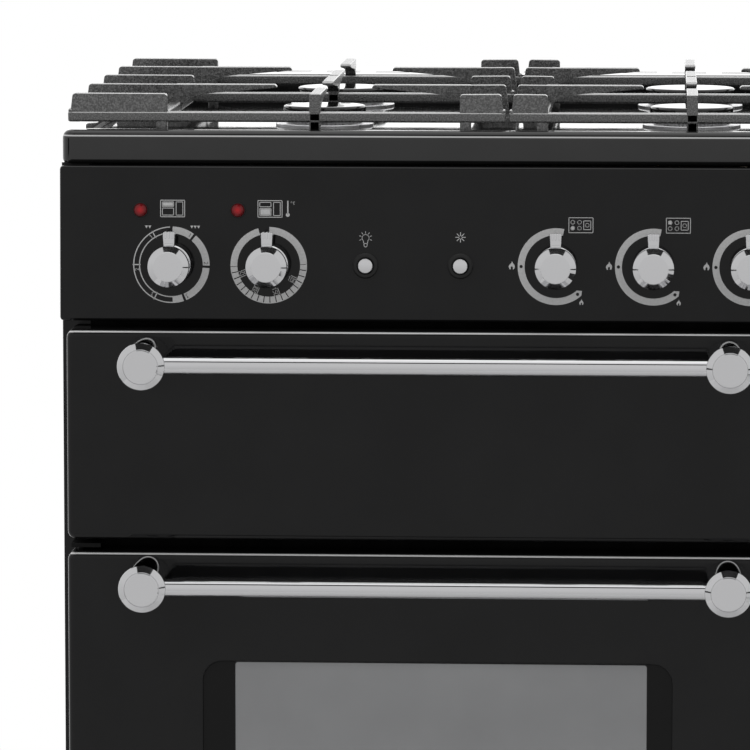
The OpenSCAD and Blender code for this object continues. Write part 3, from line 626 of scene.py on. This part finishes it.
def knob(node, joint):
    """Turned knob on its spindle, with a skirt, a waist, a chamfered head and a ribbed pointer."""
    skirt = [(3, 5), (13.9, 5), (14.4, 5.6), (14.4, 7.4), (13.9, 8), (13.2, 8.6), (12.8, 9.6), (12.6, 11)]
    head = [(12.6, 19.4), (12.9, 20.6), (13.7, 21.4), (14.4, 21.9), (14.7, 22.6), (14.7, 26.8),
            (14.5, 27.3), (10.7, 29.6), (10.4, 29.9), (10.0, 30), (3, 30)]
    pointer = [(-3.2, 0), (3.2, 0), (3.6, 14), (4.6, 23.2), (3.8, 24.2), (-3.8, 24.2), (-4.6, 23.2),
               (-3.6, 14)]
    solid = Solid()
    solid.lathe(skirt + head, 96)
    solid.lathe([(3, -24), (3, 6)], 32)
    solid.prism(pointer, "z", 11.4, 20.6, 0.9, 3)
    for x in (-2.4, 0, 2.4):
        solid.box((x - 0.7, x + 0.7), (19.6, 24.8), (12.5, 21.3), 0.5)
    solid.prism([(-3.0, 13.6), (3.0, 13.6), (3.2, 16.2), (-3.2, 16.2)], "z", 12, 21.4, 0.6, 2)
    solid.piece(node + "_turned", node, "chrome", TURNED, [node], on_panel(*knob_place(joint)), 20)


def buttons():
    """Two domed push buttons in black bezels."""
    cap = [(5.35, -12), (5.35, 4.2), (5.25, 4.7), (4.95, 5.1), (4.5, 5.3), (4.2, 5.35), (3.4, 5.7),
           (2.0, 6.0), (0.4, 6.1)]
    bezel = [(5.5, 0), (9.15, 0), (9.15, 0.9), (8.9, 1.6), (8.2, 2.2), (7.2, 2.6), (6.4, 2.6), (5.8, 2.2),
             (5.5, 1.5)]
    for node in ("light_button", "ignition_button"):
        place = on_panel(centre_mm(node).x, PANEL_POINT.z)
        solid = Solid()
        solid.lathe(cap, 64)
        solid.piece(node + "_cap", node, "chrome", TURNED, [node], place)
        ring = Solid()
        ring.lathe(bezel, 64, ring=True)
        ring.piece(node + "_bezel", "cabinet", "switch_plastic", MOULDED, (), place)


def neons():
    """Faceted red lenses in thin dark collars, each to the left of its knob."""
    left_of_knob = 22
    z = centre_mm("neon_lenses").z
    for i, joint in enumerate(("grill_knob_turn", "main_oven_knob_turn", "tall_oven_knob_turn")):
        place = on_panel(knob_place(joint)[0] - left_of_knob, z)
        lens = Solid()
        lens.lathe([(4.5, -8), (4.5, 0.3), (4.9, 0.4), (4.9, 1.2), (4.3, 2.2), (3.0, 3.0), (1.6, 3.3),
                    (0.5, 3.4)], 12)
        lens.piece("neon_lens_%d" % (i + 1), "cabinet", "neon_red", NEON, ["neon_lenses"], place, 10)
        collar = Solid()
        collar.lathe([(4.95, 0), (5.6, 0), (5.6, 0.7), (5.3, 1.1), (4.95, 1.1)], 48, ring=True)
        collar.piece("neon_collar_%d" % (i + 1), "cabinet", "switch_plastic", MOULDED, (), place)


# ---- print on the panel ----

# Strokes of each character, on a grid 2 wide and 4 high
DIGITS = {
    "0": [[(0, 0), (2, 0), (2, 4), (0, 4), (0, 0)]],
    "1": [[(0.3, 3.2), (1.2, 4), (1.2, 0)]],
    "2": [[(0, 3.3), (0.5, 4), (1.6, 4), (2, 3.3), (2, 2.5), (0, 0), (2, 0)]],
    "3": [[(0, 4), (2, 4), (0.9, 2.5), (2, 1.6), (2, 0.6), (1.4, 0), (0, 0)]],
    "4": [[(1.6, 0), (1.6, 4), (0, 1.3), (2.2, 1.3)]],
    "5": [[(2, 4), (0, 4), (0, 2.4), (1.5, 2.4), (2, 1.8), (2, 0.6), (1.4, 0), (0, 0)]],
    "C": [[(2, 3.4), (1.4, 4), (0.6, 4), (0, 3.2), (0, 0.8), (0.6, 0), (1.4, 0), (2, 0.6)]],
}
# Height of the print, and how much higher the dark marks on it stand
INK, OVERPRINT = 0.12, 0.08
# Outer and inner radius of a dial's ring
RING_OUT, RING_IN = 27.3, 22.4


class Print:
    """Thin raised print on the panel, drawn in millimetres about one point."""

    def __init__(self):
        self.solid = Solid()

    def shape(self, outline):
        self.solid.prism(outline, "z", -0.05, INK)

    def line(self, points, width=0.5):
        for (x0, y0), (x1, y1) in zip(points, points[1:]):
            length = math.hypot(x1 - x0, y1 - y0) or 1
            ux, uy = (x1 - x0) / length * width / 2, (y1 - y0) / length * width / 2
            self.shape([(x0 - ux + uy, y0 - uy - ux), (x1 + ux + uy, y1 + uy - ux),
                        (x1 + ux - uy, y1 + uy + ux), (x0 - ux - uy, y0 - uy + ux)])

    def frame(self, x0, x1, y0, y1, width=0.5):
        self.line([(x0, y0), (x1, y0), (x1, y1), (x0, y1), (x0, y0)], width)

    def fill(self, x0, x1, y0, y1):
        self.shape([(x0, y0), (x1, y0), (x1, y1), (x0, y1)])

    def band(self, inner, outer, start, end):
        """Part of a ring; angles run clockwise from the top."""
        steps = max(2, round(abs(end - start) / 4))
        start, end = 90 - start, 90 - end
        self.shape(arc(0, 0, outer, start, end, steps) + arc(0, 0, inner, end, start, steps))

    def spoke(self, angle, inner, outer, width=0.5):
        self.line([polar(angle, inner), polar(angle, outer)], width)

    def ring(self, x, y, radius, width=0.5):
        self.line(arc(x, y, radius, 0, 360, 16), width)

    def disc(self, x, y, radius):
        self.shape(arc(x, y, radius, 0, 337.5, 15))

    def text(self, word, x, y, size, turn=0.0, width=0.3):
        """Characters centred on a point, turned clockwise by an angle."""
        scale, advance = size / 4, 2.9
        c, s = math.cos(math.radians(turn)), math.sin(math.radians(turn))
        for k, mark in enumerate(word):
            shift = (k - (len(word) - 1) / 2) * advance - 1.0
            for run in DIGITS[mark]:
                flat = [((u + shift) * scale, (v - 2) * scale) for u, v in run]
                self.line([(x + u * c + v * s, y - u * s + v * c) for u, v in flat], width)

    def piece(self, name, x, z, look=PRINT):
        self.solid.piece(name, "cabinet", "black_enamel", look, (), on_panel(x, z), 20)

    def dark_piece(self, name, x, z):
        """Marks in the panel's black, standing a little above the pale print."""
        for vertex in self.solid.mesh.verts:
            vertex.co.z += OVERPRINT
        self.piece(name, x, z, ENAMEL)


def oven_icon(ink, filled, y=40.1):
    """A cooker seen from the front, with the cell that the knob serves filled."""
    ink.frame(-7.7, 9.5, y - 5.9, y + 5.9, 0.5)
    cells = {"grill": (-6.4, 1.6, y + 1.5, y + 4.7), "main": (-6.4, 1.6, y - 4.7, y + 0.3),
             "tall": (3.4, 8.2, y - 4.7, y + 4.7)}
    for name, (x0, x1, y0, y1) in cells.items():
        ink.frame(x0, x1, y0, y1, 0.45)
        if name == filled:
            ink.fill(x0 + 0.5, x1 - 0.5, y0 + 0.5, y1 - 0.5)


def thermometer(ink, x, y=40.1):
    """A thermometer with the sign for degrees Celsius."""
    ink.line([(x, y - 3.6), (x, y + 5.4)], 0.9)
    ink.disc(x, y - 4.2, 1.4)
    ink.ring(x + 2.6, y + 4.9, 0.4, 0.25)
    ink.text("C", x + 4.4, y + 4.2, 1.9, 0, 0.28)


def grill_dial(x, z):
    """Three steps of heat twice: filled on the right, in outline on the left."""
    outline, number_r, number_size = 0.75, 24.8, 2.6
    ink = Print()
    for start, end in ((2, 36), (40, 91), (95, 157), (161, 178)):
        ink.band(RING_IN, RING_OUT, start, end)
    ink.band(RING_OUT - outline, RING_OUT, 178, 358)
    ink.band(RING_IN, RING_IN + outline, 178, 358)
    for angle in (207, 270, 330):
        ink.spoke(angle, RING_IN, RING_OUT, outline)
    for k, angle in enumerate((324, 262, 213)):
        ink.text(str(k + 1), *polar(angle, number_r), number_size, angle)
    for count, side in ((2, -16.6), (3, 17.0)):
        for k in range(count):
            u = side + (k - (count - 1) / 2) * 2.4
            ink.shape([(u - 1.1, 27.9), (u + 1.1, 27.9), (u, 25.9)])
    oven_icon(ink, "grill")
    ink.piece("grill_dial_print", x, z)
    marks = Print()
    for k, angle in enumerate((32, 87, 153)):
        marks.text(str(k + 1), *polar(angle, number_r), number_size, angle)
    marks.dark_piece("grill_dial_marks", x, z)


def heat_dial(name, x, z, oven):
    """An oven's dial, with a tick each 10 degrees of turn and four temperatures."""
    ink = Print()
    ink.band(RING_IN, RING_OUT, 1, 88)
    ink.band(RING_IN, RING_OUT, 268, 344)
    ticks = [88 + 10 * k for k in range(19)]
    for start, end in zip(ticks, ticks[1:]):
        ink.band(RING_IN, RING_OUT, start + 0.8, end - 0.8)
        ink.band(RING_OUT - 0.5, RING_OUT, start - 0.9, start + 0.9)
    for k, degrees in enumerate(("100", "150", "200", "250")):
        angle = 118 + 44 * k
        ink.spoke(angle - 3.5, 17.6, RING_IN - 0.3, 0.4)
        ink.text(degrees, *polar(angle + 4, 19.4), 3.0, angle - 90 if angle < 180 else angle + 90)
    oven_icon(ink, oven)
    thermometer(ink, 13.6)
    ink.piece(name, x, z)


def timer_dial(x, z):
    """Twelve steps of five minutes and a small clock."""
    ink = Print()
    for k in range(12):
        ink.band(RING_IN, RING_OUT, 30 * k + 1.2, 30 * k + 28.8)
        if k:
            ink.text(str(5 * k), *polar(30 * k, 19.6), 2.3)
    ink.ring(0, 41.5, 4.8, 0.45)
    ink.line([(0, 44.8), (0, 41.5), (2.2, 40.2)], 0.5)
    ink.piece("timer_dial_print", x, z)


def flame(ink, x, y, size):
    outline = [(-0.42, -0.5), (-0.62, -0.05), (-0.5, 0.35), (-0.1, 0.72), (0.05, 1.1), (0.22, 0.7),
               (0.5, 0.4), (0.62, -0.05), (0.42, -0.5), (0.2, -0.5), (0.22, -0.1), (0.0, 0.14),
               (-0.22, -0.1), (-0.2, -0.5)]
    ink.shape([(x + u * size, y + v * size) for u, v in outline])


# Burners on the small plan beside a gas dial, and the one that each gas knob serves
PLAN_BURNERS = [(11.6, 31.6), (11.6, 27.4), (16.4, 27.4), (16.4, 31.6), (21.9, 29.5)]
SERVED = (1, 0, 3, 2, 4)


def hob_dial(index, x, z):
    """Ring that thins out to a low flame, with a plan of the hob that shows the burner."""
    ring_end = 139
    ink = Print()
    ink.band(RING_IN, RING_OUT, ring_end - 360, 12)
    ink.shape([polar(ring_end, RING_IN), polar(133, 25.2), polar(ring_end, RING_OUT)])
    flame(ink, -31.5, -0.2, 3.6)
    flame(ink, 18.0, -25.8, 2.5)
    ink.frame(8.9, 26.0, 24.2, 34.8, 0.45)
    for k, (u, v) in enumerate(PLAN_BURNERS):
        ink.ring(u, v, 1.35, 0.45)
        if k == SERVED[index]:
            ink.disc(u, v, 1.2)
    ink.frame(19.4, 24.4, 26.4, 32.6, 0.45)
    ink.piece("hob_dial_%d_print" % (index + 1), x, z)
    marks = Print()
    for angle in (270, 142):
        marks.disc(*polar(angle, 24.85), 1.15)
    marks.dark_piece("hob_dial_%d_dots" % (index + 1), x, z)


def button_icons():
    """A lit bulb over the light button and a spark over the ignition button."""
    z, bulb_drop = PANEL_POINT.z, 1.8
    bulb = Print()
    bulb.line(arc(0, 21.5, 2.5, -50, 230, 14) + [(-1.3, 17.6), (1.3, 17.6), (1.7, 19.6)], 0.4)
    bulb.line([(-1.2, 17.4), (-1.0, 15.8), (0, 15.0), (1.0, 15.8), (1.2, 17.4)], 0.45)
    for angle in (-110, -70, -35, 0, 35, 70, 110):
        u, v = polar(angle, 1)
        bulb.line([(u * 3.4, 21.5 + v * 3.4), (u * 4.6, 21.5 + v * 4.6)], 0.35)
    bulb.piece("light_icon_print", centre_mm("light_button").x, z - bulb_drop)
    spark = Print()
    for angle in range(0, 360, 45):
        u, v = polar(angle, 1)
        spark.line([(u * 1.2, 20.5 + v * 1.2), (u * 3.4, 20.5 + v * 3.4)], 0.5)
    spark.piece("ignition_icon_print", centre_mm("ignition_button").x, z)


def dials():
    grill_dial(*knob_place("grill_knob_turn"))
    heat_dial("main_dial_print", *knob_place("main_oven_knob_turn"), "main")
    heat_dial("tall_dial_print", *knob_place("tall_oven_knob_turn"), "tall")
    timer_dial(*knob_place("timer_knob_turn"))
    for i in range(5):
        hob_dial(i, *knob_place("hob_knob_%d_turn" % (i + 1)))
    button_icons()


# ---- hob ----

def burner_centres():
    """Centre and cap radius of each burner, from the separate rings of the CAD caps, and the caps' top."""
    closer_than = 110
    points = [vertex.co / MM for vertex in NODES["burner_caps"].data.vertices]
    groups = []
    for point in points:
        for group in groups:
            if (Vector(group[0]) - Vector((point.x, point.y))).length < closer_than:
                group.append((point.x, point.y))
                break
        else:
            groups.append([(point.x, point.y)])
    found = []
    for group in groups:
        xs, ys = [p[0] for p in group], [p[1] for p in group]
        found.append(((min(xs) + max(xs)) / 2, (min(ys) + max(ys)) / 2, (max(xs) - min(xs)) / 2))
    return found, max(point.z for point in points)


def burner_base(cap_r, ring_r):
    """Base with its light ring, the ports between cap and ring, and the core that carries the cap."""
    base = Solid()
    base.lathe([(cap_r - 6, -16), (cap_r - 6, 0), (ring_r, 0), (ring_r, 1.4), (ring_r - 0.8, 2.2),
                (cap_r - 0.5, 3.4), (cap_r - 2.2, 4.4), (cap_r - 2.6, 5.2), (cap_r - 2.6, 5.6),
                (6, 5.6)], 96)
    ports = 2 * round(cap_r * 0.9)
    half = math.pi / ports * 0.62
    for k in range(ports):
        a = 2 * math.pi * k / ports
        corners = [(cap_r - 2.4, a - half), (cap_r - 2.4, a + half),
                   (cap_r - 8, a + half * 1.2), (cap_r - 8, a - half * 1.2)]
        base.prism([(r * math.cos(t), r * math.sin(t)) for r, t in corners], "z", 5.4, 9)
    base.lathe([(cap_r - 7, 5.4), (cap_r - 7, 9)], 64)
    return base


def burners():
    """Base, cap and spark plug of each burner."""
    cap_top = 15
    found, top = burner_centres()
    for i, (x, y, cap_r) in enumerate(sorted(found, key=lambda b: (round(b[0]), round(b[1])))):
        place = Matrix.Translation(Vector((x, y, top - cap_top)) * MM)
        ring_r = cap_r * 1.1 + 2.5
        base = burner_base(cap_r, ring_r)
        base.piece("burner_base_%d" % (i + 1), "cabinet", "burner_alloy", ALLOY, ["burner_bases"], place)
        cap = Solid()
        cap.lathe([(cap_r - 9, 9), (cap_r - 0.7, 9), (cap_r, 9.7), (cap_r, 13.2), (cap_r - 0.3, 14.0),
                   (cap_r - 0.9, 14.6), (cap_r - 1.8, 14.9), (cap_r - 3, cap_top), (2, cap_top)], 96)
        cap.piece("burner_cap_%d" % (i + 1), "cabinet", "cap_enamel", CAP, ["burner_caps"], place)
        spark = Solid()
        spark.lathe([(1.9, 0), (1.9, 5), (1.2, 5.6), (1.2, 7.4), (0.6, 8), (0.2, 8.4)], 16,
                    centre=(ring_r * 0.64, ring_r * 0.64 + 4))
        spark.piece("spark_plug_%d" % (i + 1), "cabinet", "switch_plastic", WIRE, (), place)


def fin_outline(x0, x1, foot, bar_top, top):
    """Side view of an outer fin: round shoulders, leaning outer end, small fillet where it meets the bar."""
    points = [(x0, foot + 1.0), (x0 + 1.0, foot), (x1, foot), (x1, bar_top)]
    points += [(x1 - 0.2, top - 2.2)] + arc(x1 - 2.2, top - 2.2, 2.0, 0, 90, 3)
    points += arc(x0 + 4.4, top - 2.2, 2.2, 90, 165, 3)
    return points


def finger_outline(root, tip, low, top):
    """Side view of a finger: flat on top, deep at its root, thin at its tip."""
    away = 1 if tip > root else -1
    under = [(0, top - low), (0.05, 15), (0.08, 13), (0.12, 10.6), (0.17, 8.8), (0.24, 7.6), (0.4, 6.2),
             (0.68, 4.6), (1, 2.8)]
    points = [(root + (tip - root) * u, top - depth) for u, depth in under]
    points += [(tip - away * 0.6, top - 0.8), (tip - away * 1.8, top), (root, top)]
    return points if away > 0 else points[::-1]


# Rows of fins from front to back, and how far each casting's two rails stand in from its sides
ROWS = 5
RAIL_INSETS = {"pan_support_left": (67.5, 29), "pan_support_centre": (24, 24),
               "pan_support_right": (29, 67.5)}


def pan_support(node):
    """One cast set: cross bars and rails, with fins outside and fingers over each burner."""
    low, high = box_mm(node)
    left, right, tray, top = low.x, high.x, low.z, high.z
    bar_low, bar_high = tray + 9.5, tray + 17
    own = [burner for burner in burner_centres()[0] if left < burner[0] < right]
    inset_left, inset_right = RAIL_INSETS[node]
    rails = (left + inset_left, right - inset_right)
    first, last = low.y + 4, high.y - 4
    rows = [first + (last - first) * i / (ROWS - 1) for i in range(ROWS)]
    barred = rows[::2] if len(own) == 2 else rows[::4]
    solid = Solid()
    for y in barred:
        solid.box((left, right), (y - 4, y + 4), (bar_low, bar_high), 1.5, 3)
        for x, away in ((left, 1), (right, -1)):
            lip = sorted((x + away * 0.2, x + away * 4.2))
            solid.box(lip, (y - 3.8, y + 3.8), (bar_low + 2, bar_high + 2.2), 1.6, 3)
    for x in rails:
        solid.box((x - 4, x + 4), (rows[0] - 2, rows[-1] + 2), (bar_low, bar_high), 1.5, 3)
    left_fin = fin_outline(left + 1, rails[0] + 4, bar_low, bar_high, top)
    right_fin = fin_outline(left + 1, left + right - rails[1] + 4, bar_low, bar_high, top)
    right_fin = [(left + right - x, z) for x, z in reversed(right_fin)]
    for y in rows:
        for outline in (left_fin, right_fin):
            solid.prism(outline, "y", y - 3.5, y + 3.5, 1.2, 3)
    for x, y, cap_r in own:
        reach = cap_r + 4.5
        near = max(row for row in barred if row < y)
        far = min(row for row in barred if row > y)
        for root, tip in ((rails[0], x - reach), (rails[1], x + reach)):
            solid.prism(finger_outline(root, tip, bar_low, top), "y", y - 4.5, y + 4.5, 1.3, 3)
        for root, tip in ((near - 4, y - reach), (far + 4, y + reach)):
            solid.prism(finger_outline(root, tip, bar_low, top), "x", x - 4, x + 4, 1.3, 3)
    for y in (rows[0], rows[-1]):
        for x in (*rails, *{burner[0] for burner in own}):
            solid.box((x - 4, x + 4), (y - 3.6, y + 3.6), (tray, bar_low + 1), 1.0, 2)
    solid.piece(node + "_casting", node, "cast_iron", IRON, [node], sharp=50)


# ---- floor, light and camera ----

def stage():
    """Pale floor under the range."""
    bpy.ops.mesh.primitive_circle_add(vertices=96, radius=1.45, fill_type="NGON", location=(0, 0.1, 0))
    floor = bpy.context.object
    floor.name = "floor"
    look = Look("pale_floor", (0.62, 0.62, 0.62), 0.6)
    look.vary(look.noise(6), "Base Color", (0.6, 0.6, 0.6), (0.64, 0.64, 0.64))
    floor.data.materials.append(look.material)


def maths(tree, operation, first, second=None):
    """One step of arithmetic on sockets or numbers."""
    node = tree.nodes.new("ShaderNodeMath")
    node.operation = operation
    for socket, value in zip(node.inputs, (first, second)):
        if isinstance(value, (int, float)):
            socket.default_value = value
        elif value is not None:
            tree.links.new(value, socket)
    return node.outputs["Value"]


def near(tree, value, middle, reach):
    """1 where a value is less than reach away from middle, and 0 elsewhere."""
    return maths(tree, "LESS_THAN", maths(tree, "ABSOLUTE", maths(tree, "SUBTRACT", value, middle)), reach)


def dark_flags(tree, axes):
    """Narrow dark strips in a ring round the front, which chamfered chrome mirrors as dark patches."""
    front = axes.outputs["Y"]
    around = maths(tree, "ARCTAN2", axes.outputs["X"], axes.outputs["Z"])
    either_side = near(tree, maths(tree, "ABSOLUTE", around), 1.64, 0.035)
    flags = maths(tree, "MAXIMUM", near(tree, around, 0.07, 0.45), either_side)
    flags = maths(tree, "MULTIPLY", flags, near(tree, front, -0.525, 0.1))
    low_flag = maths(tree, "MULTIPLY", near(tree, around, 2.15, 0.28), near(tree, front, -0.455, 0.035))
    return maths(tree, "MAXIMUM", flags, low_flag)


def along(tree, axis, stops):
    """Grey levels from one end of an axis of directions (0) to the other (1)."""
    to_unit = tree.nodes.new("ShaderNodeMapRange")
    to_unit.inputs["From Min"].default_value = -1
    tree.links.new(axis, to_unit.inputs["Value"])
    return grey_ramp(tree, to_unit.outputs["Result"], stops)


def sky():
    """Pale surroundings, brightest behind and overhead, white to the camera itself."""
    world = bpy.data.worlds.new("studio")
    bpy.context.scene.world = world
    world.use_nodes = True
    tree = world.node_tree
    tree.nodes.clear()
    new, link = tree.nodes.new, tree.links.new
    axes = new("ShaderNodeSeparateXYZ")
    link(new("ShaderNodeTexCoord").outputs["Generated"], axes.inputs["Vector"])
    depth = along(tree, axes.outputs["Y"], [(0.0, 0.8), (0.45, 0.8), (0.85, 1.2), (1.0, 1.9)])
    height = along(tree, axes.outputs["Z"], [(0.0, 0.75), (0.5, 0.95), (0.6, 1.0), (0.94, 1.0), (0.96, 1.45),
                                             (1.0, 1.5)])
    product = new("ShaderNodeMix")
    product.data_type = "RGBA"
    product.blend_type = "MULTIPLY"
    product.inputs["Factor"].default_value = 1
    link(depth, product.inputs[MIX_FIRST])
    link(height, product.inputs[MIX_SECOND])
    darkness = 0.97
    clear = maths(tree, "SUBTRACT", 1.0, maths(tree, "MULTIPLY", dark_flags(tree, axes), darkness))
    flagged = new("ShaderNodeVectorMath")
    flagged.operation = "SCALE"
    link(product.outputs[MIX_RESULT], flagged.inputs[0])
    link(clear, flagged.inputs["Scale"])
    lit, seen, out = new("ShaderNodeBackground"), new("ShaderNodeBackground"), new("ShaderNodeOutputWorld")
    link(flagged.outputs["Vector"], lit.inputs["Color"])
    seen.inputs["Color"].default_value = (1, 1, 1, 1)
    both = new("ShaderNodeMixShader")
    link(new("ShaderNodeLightPath").outputs["Is Camera Ray"], both.inputs["Fac"])
    link(lit.outputs["Background"], both.inputs[1])
    link(seen.outputs["Background"], both.inputs[2])
    link(both.outputs["Shader"], out.inputs["Surface"])


def lamp(name, place, target, size, power):
    """Soft rectangular light that isn't seen itself, in the picture or in the chrome."""
    data = bpy.data.lights.new(name, "AREA")
    data.shape = "RECTANGLE"
    data.size, data.size_y = size
    data.energy = power
    made = bpy.data.objects.new(name, data)
    bpy.context.scene.collection.objects.link(made)
    made.visible_camera = False
    made.visible_glossy = False
    made.location = place
    made.rotation_euler = (Vector(target) - Vector(place)).to_track_quat("-Z", "Y").to_euler()


def camera():
    """Long lens a little above the hob, turned slightly to the left and down."""
    yaw, pitch = math.radians(-3.063), math.radians(6.556)
    data = bpy.data.cameras.new("camera")
    data.sensor_width, data.lens, data.clip_end = 36, 259.8, 60
    made = bpy.data.objects.new("camera", data)
    bpy.context.scene.collection.objects.link(made)
    made.location = (-0.020, -4.100, 1.1724)
    look = Vector((math.sin(yaw) * math.cos(pitch), math.cos(yaw) * math.cos(pitch), -math.sin(pitch)))
    made.rotation_euler = look.to_track_quat("-Z", "Y").to_euler()
    bpy.context.scene.camera = made


dress_cad_nodes()
hob()
control_panel()
for name, lift in (("grill_door", DOOR_RISE), ("main_door", 0.0), ("tall_door", DOOR_RISE)):
    opening = window_of(name)
    door_panel(name + "_panel", name, opening, lift)
    door_liner(name + "_liner", name, opening)
    handle(name + "_handle", name)
door_panel("drawer_front", "drawer")
handle("drawer_handle", "drawer")
for name in ("main_door", "tall_door"):
    glass_border(name, name)
    gasket(name + "_seal", name)
for i in range(5):
    knob("hob_knob_%d" % (i + 1), "hob_knob_%d_turn" % (i + 1))
for name in ("grill_knob", "main_oven_knob", "timer_knob", "tall_oven_knob"):
    knob(name, name + "_turn")
buttons()
neons()
dials()
burners()
for name in RAIL_INSETS:
    pan_support(name)
stage()
sky()
lamp("overhead", (0.0, -0.6, 2.6), (0, 0, 0.9), (2.4, 1.4), 15)
lamp("left_side", (-2.4, -1.6, 1.8), (0, 0, 0.6), (1.2, 1.6), 14)
camera()
bpy.context.scene.view_settings.view_transform = "Standard"
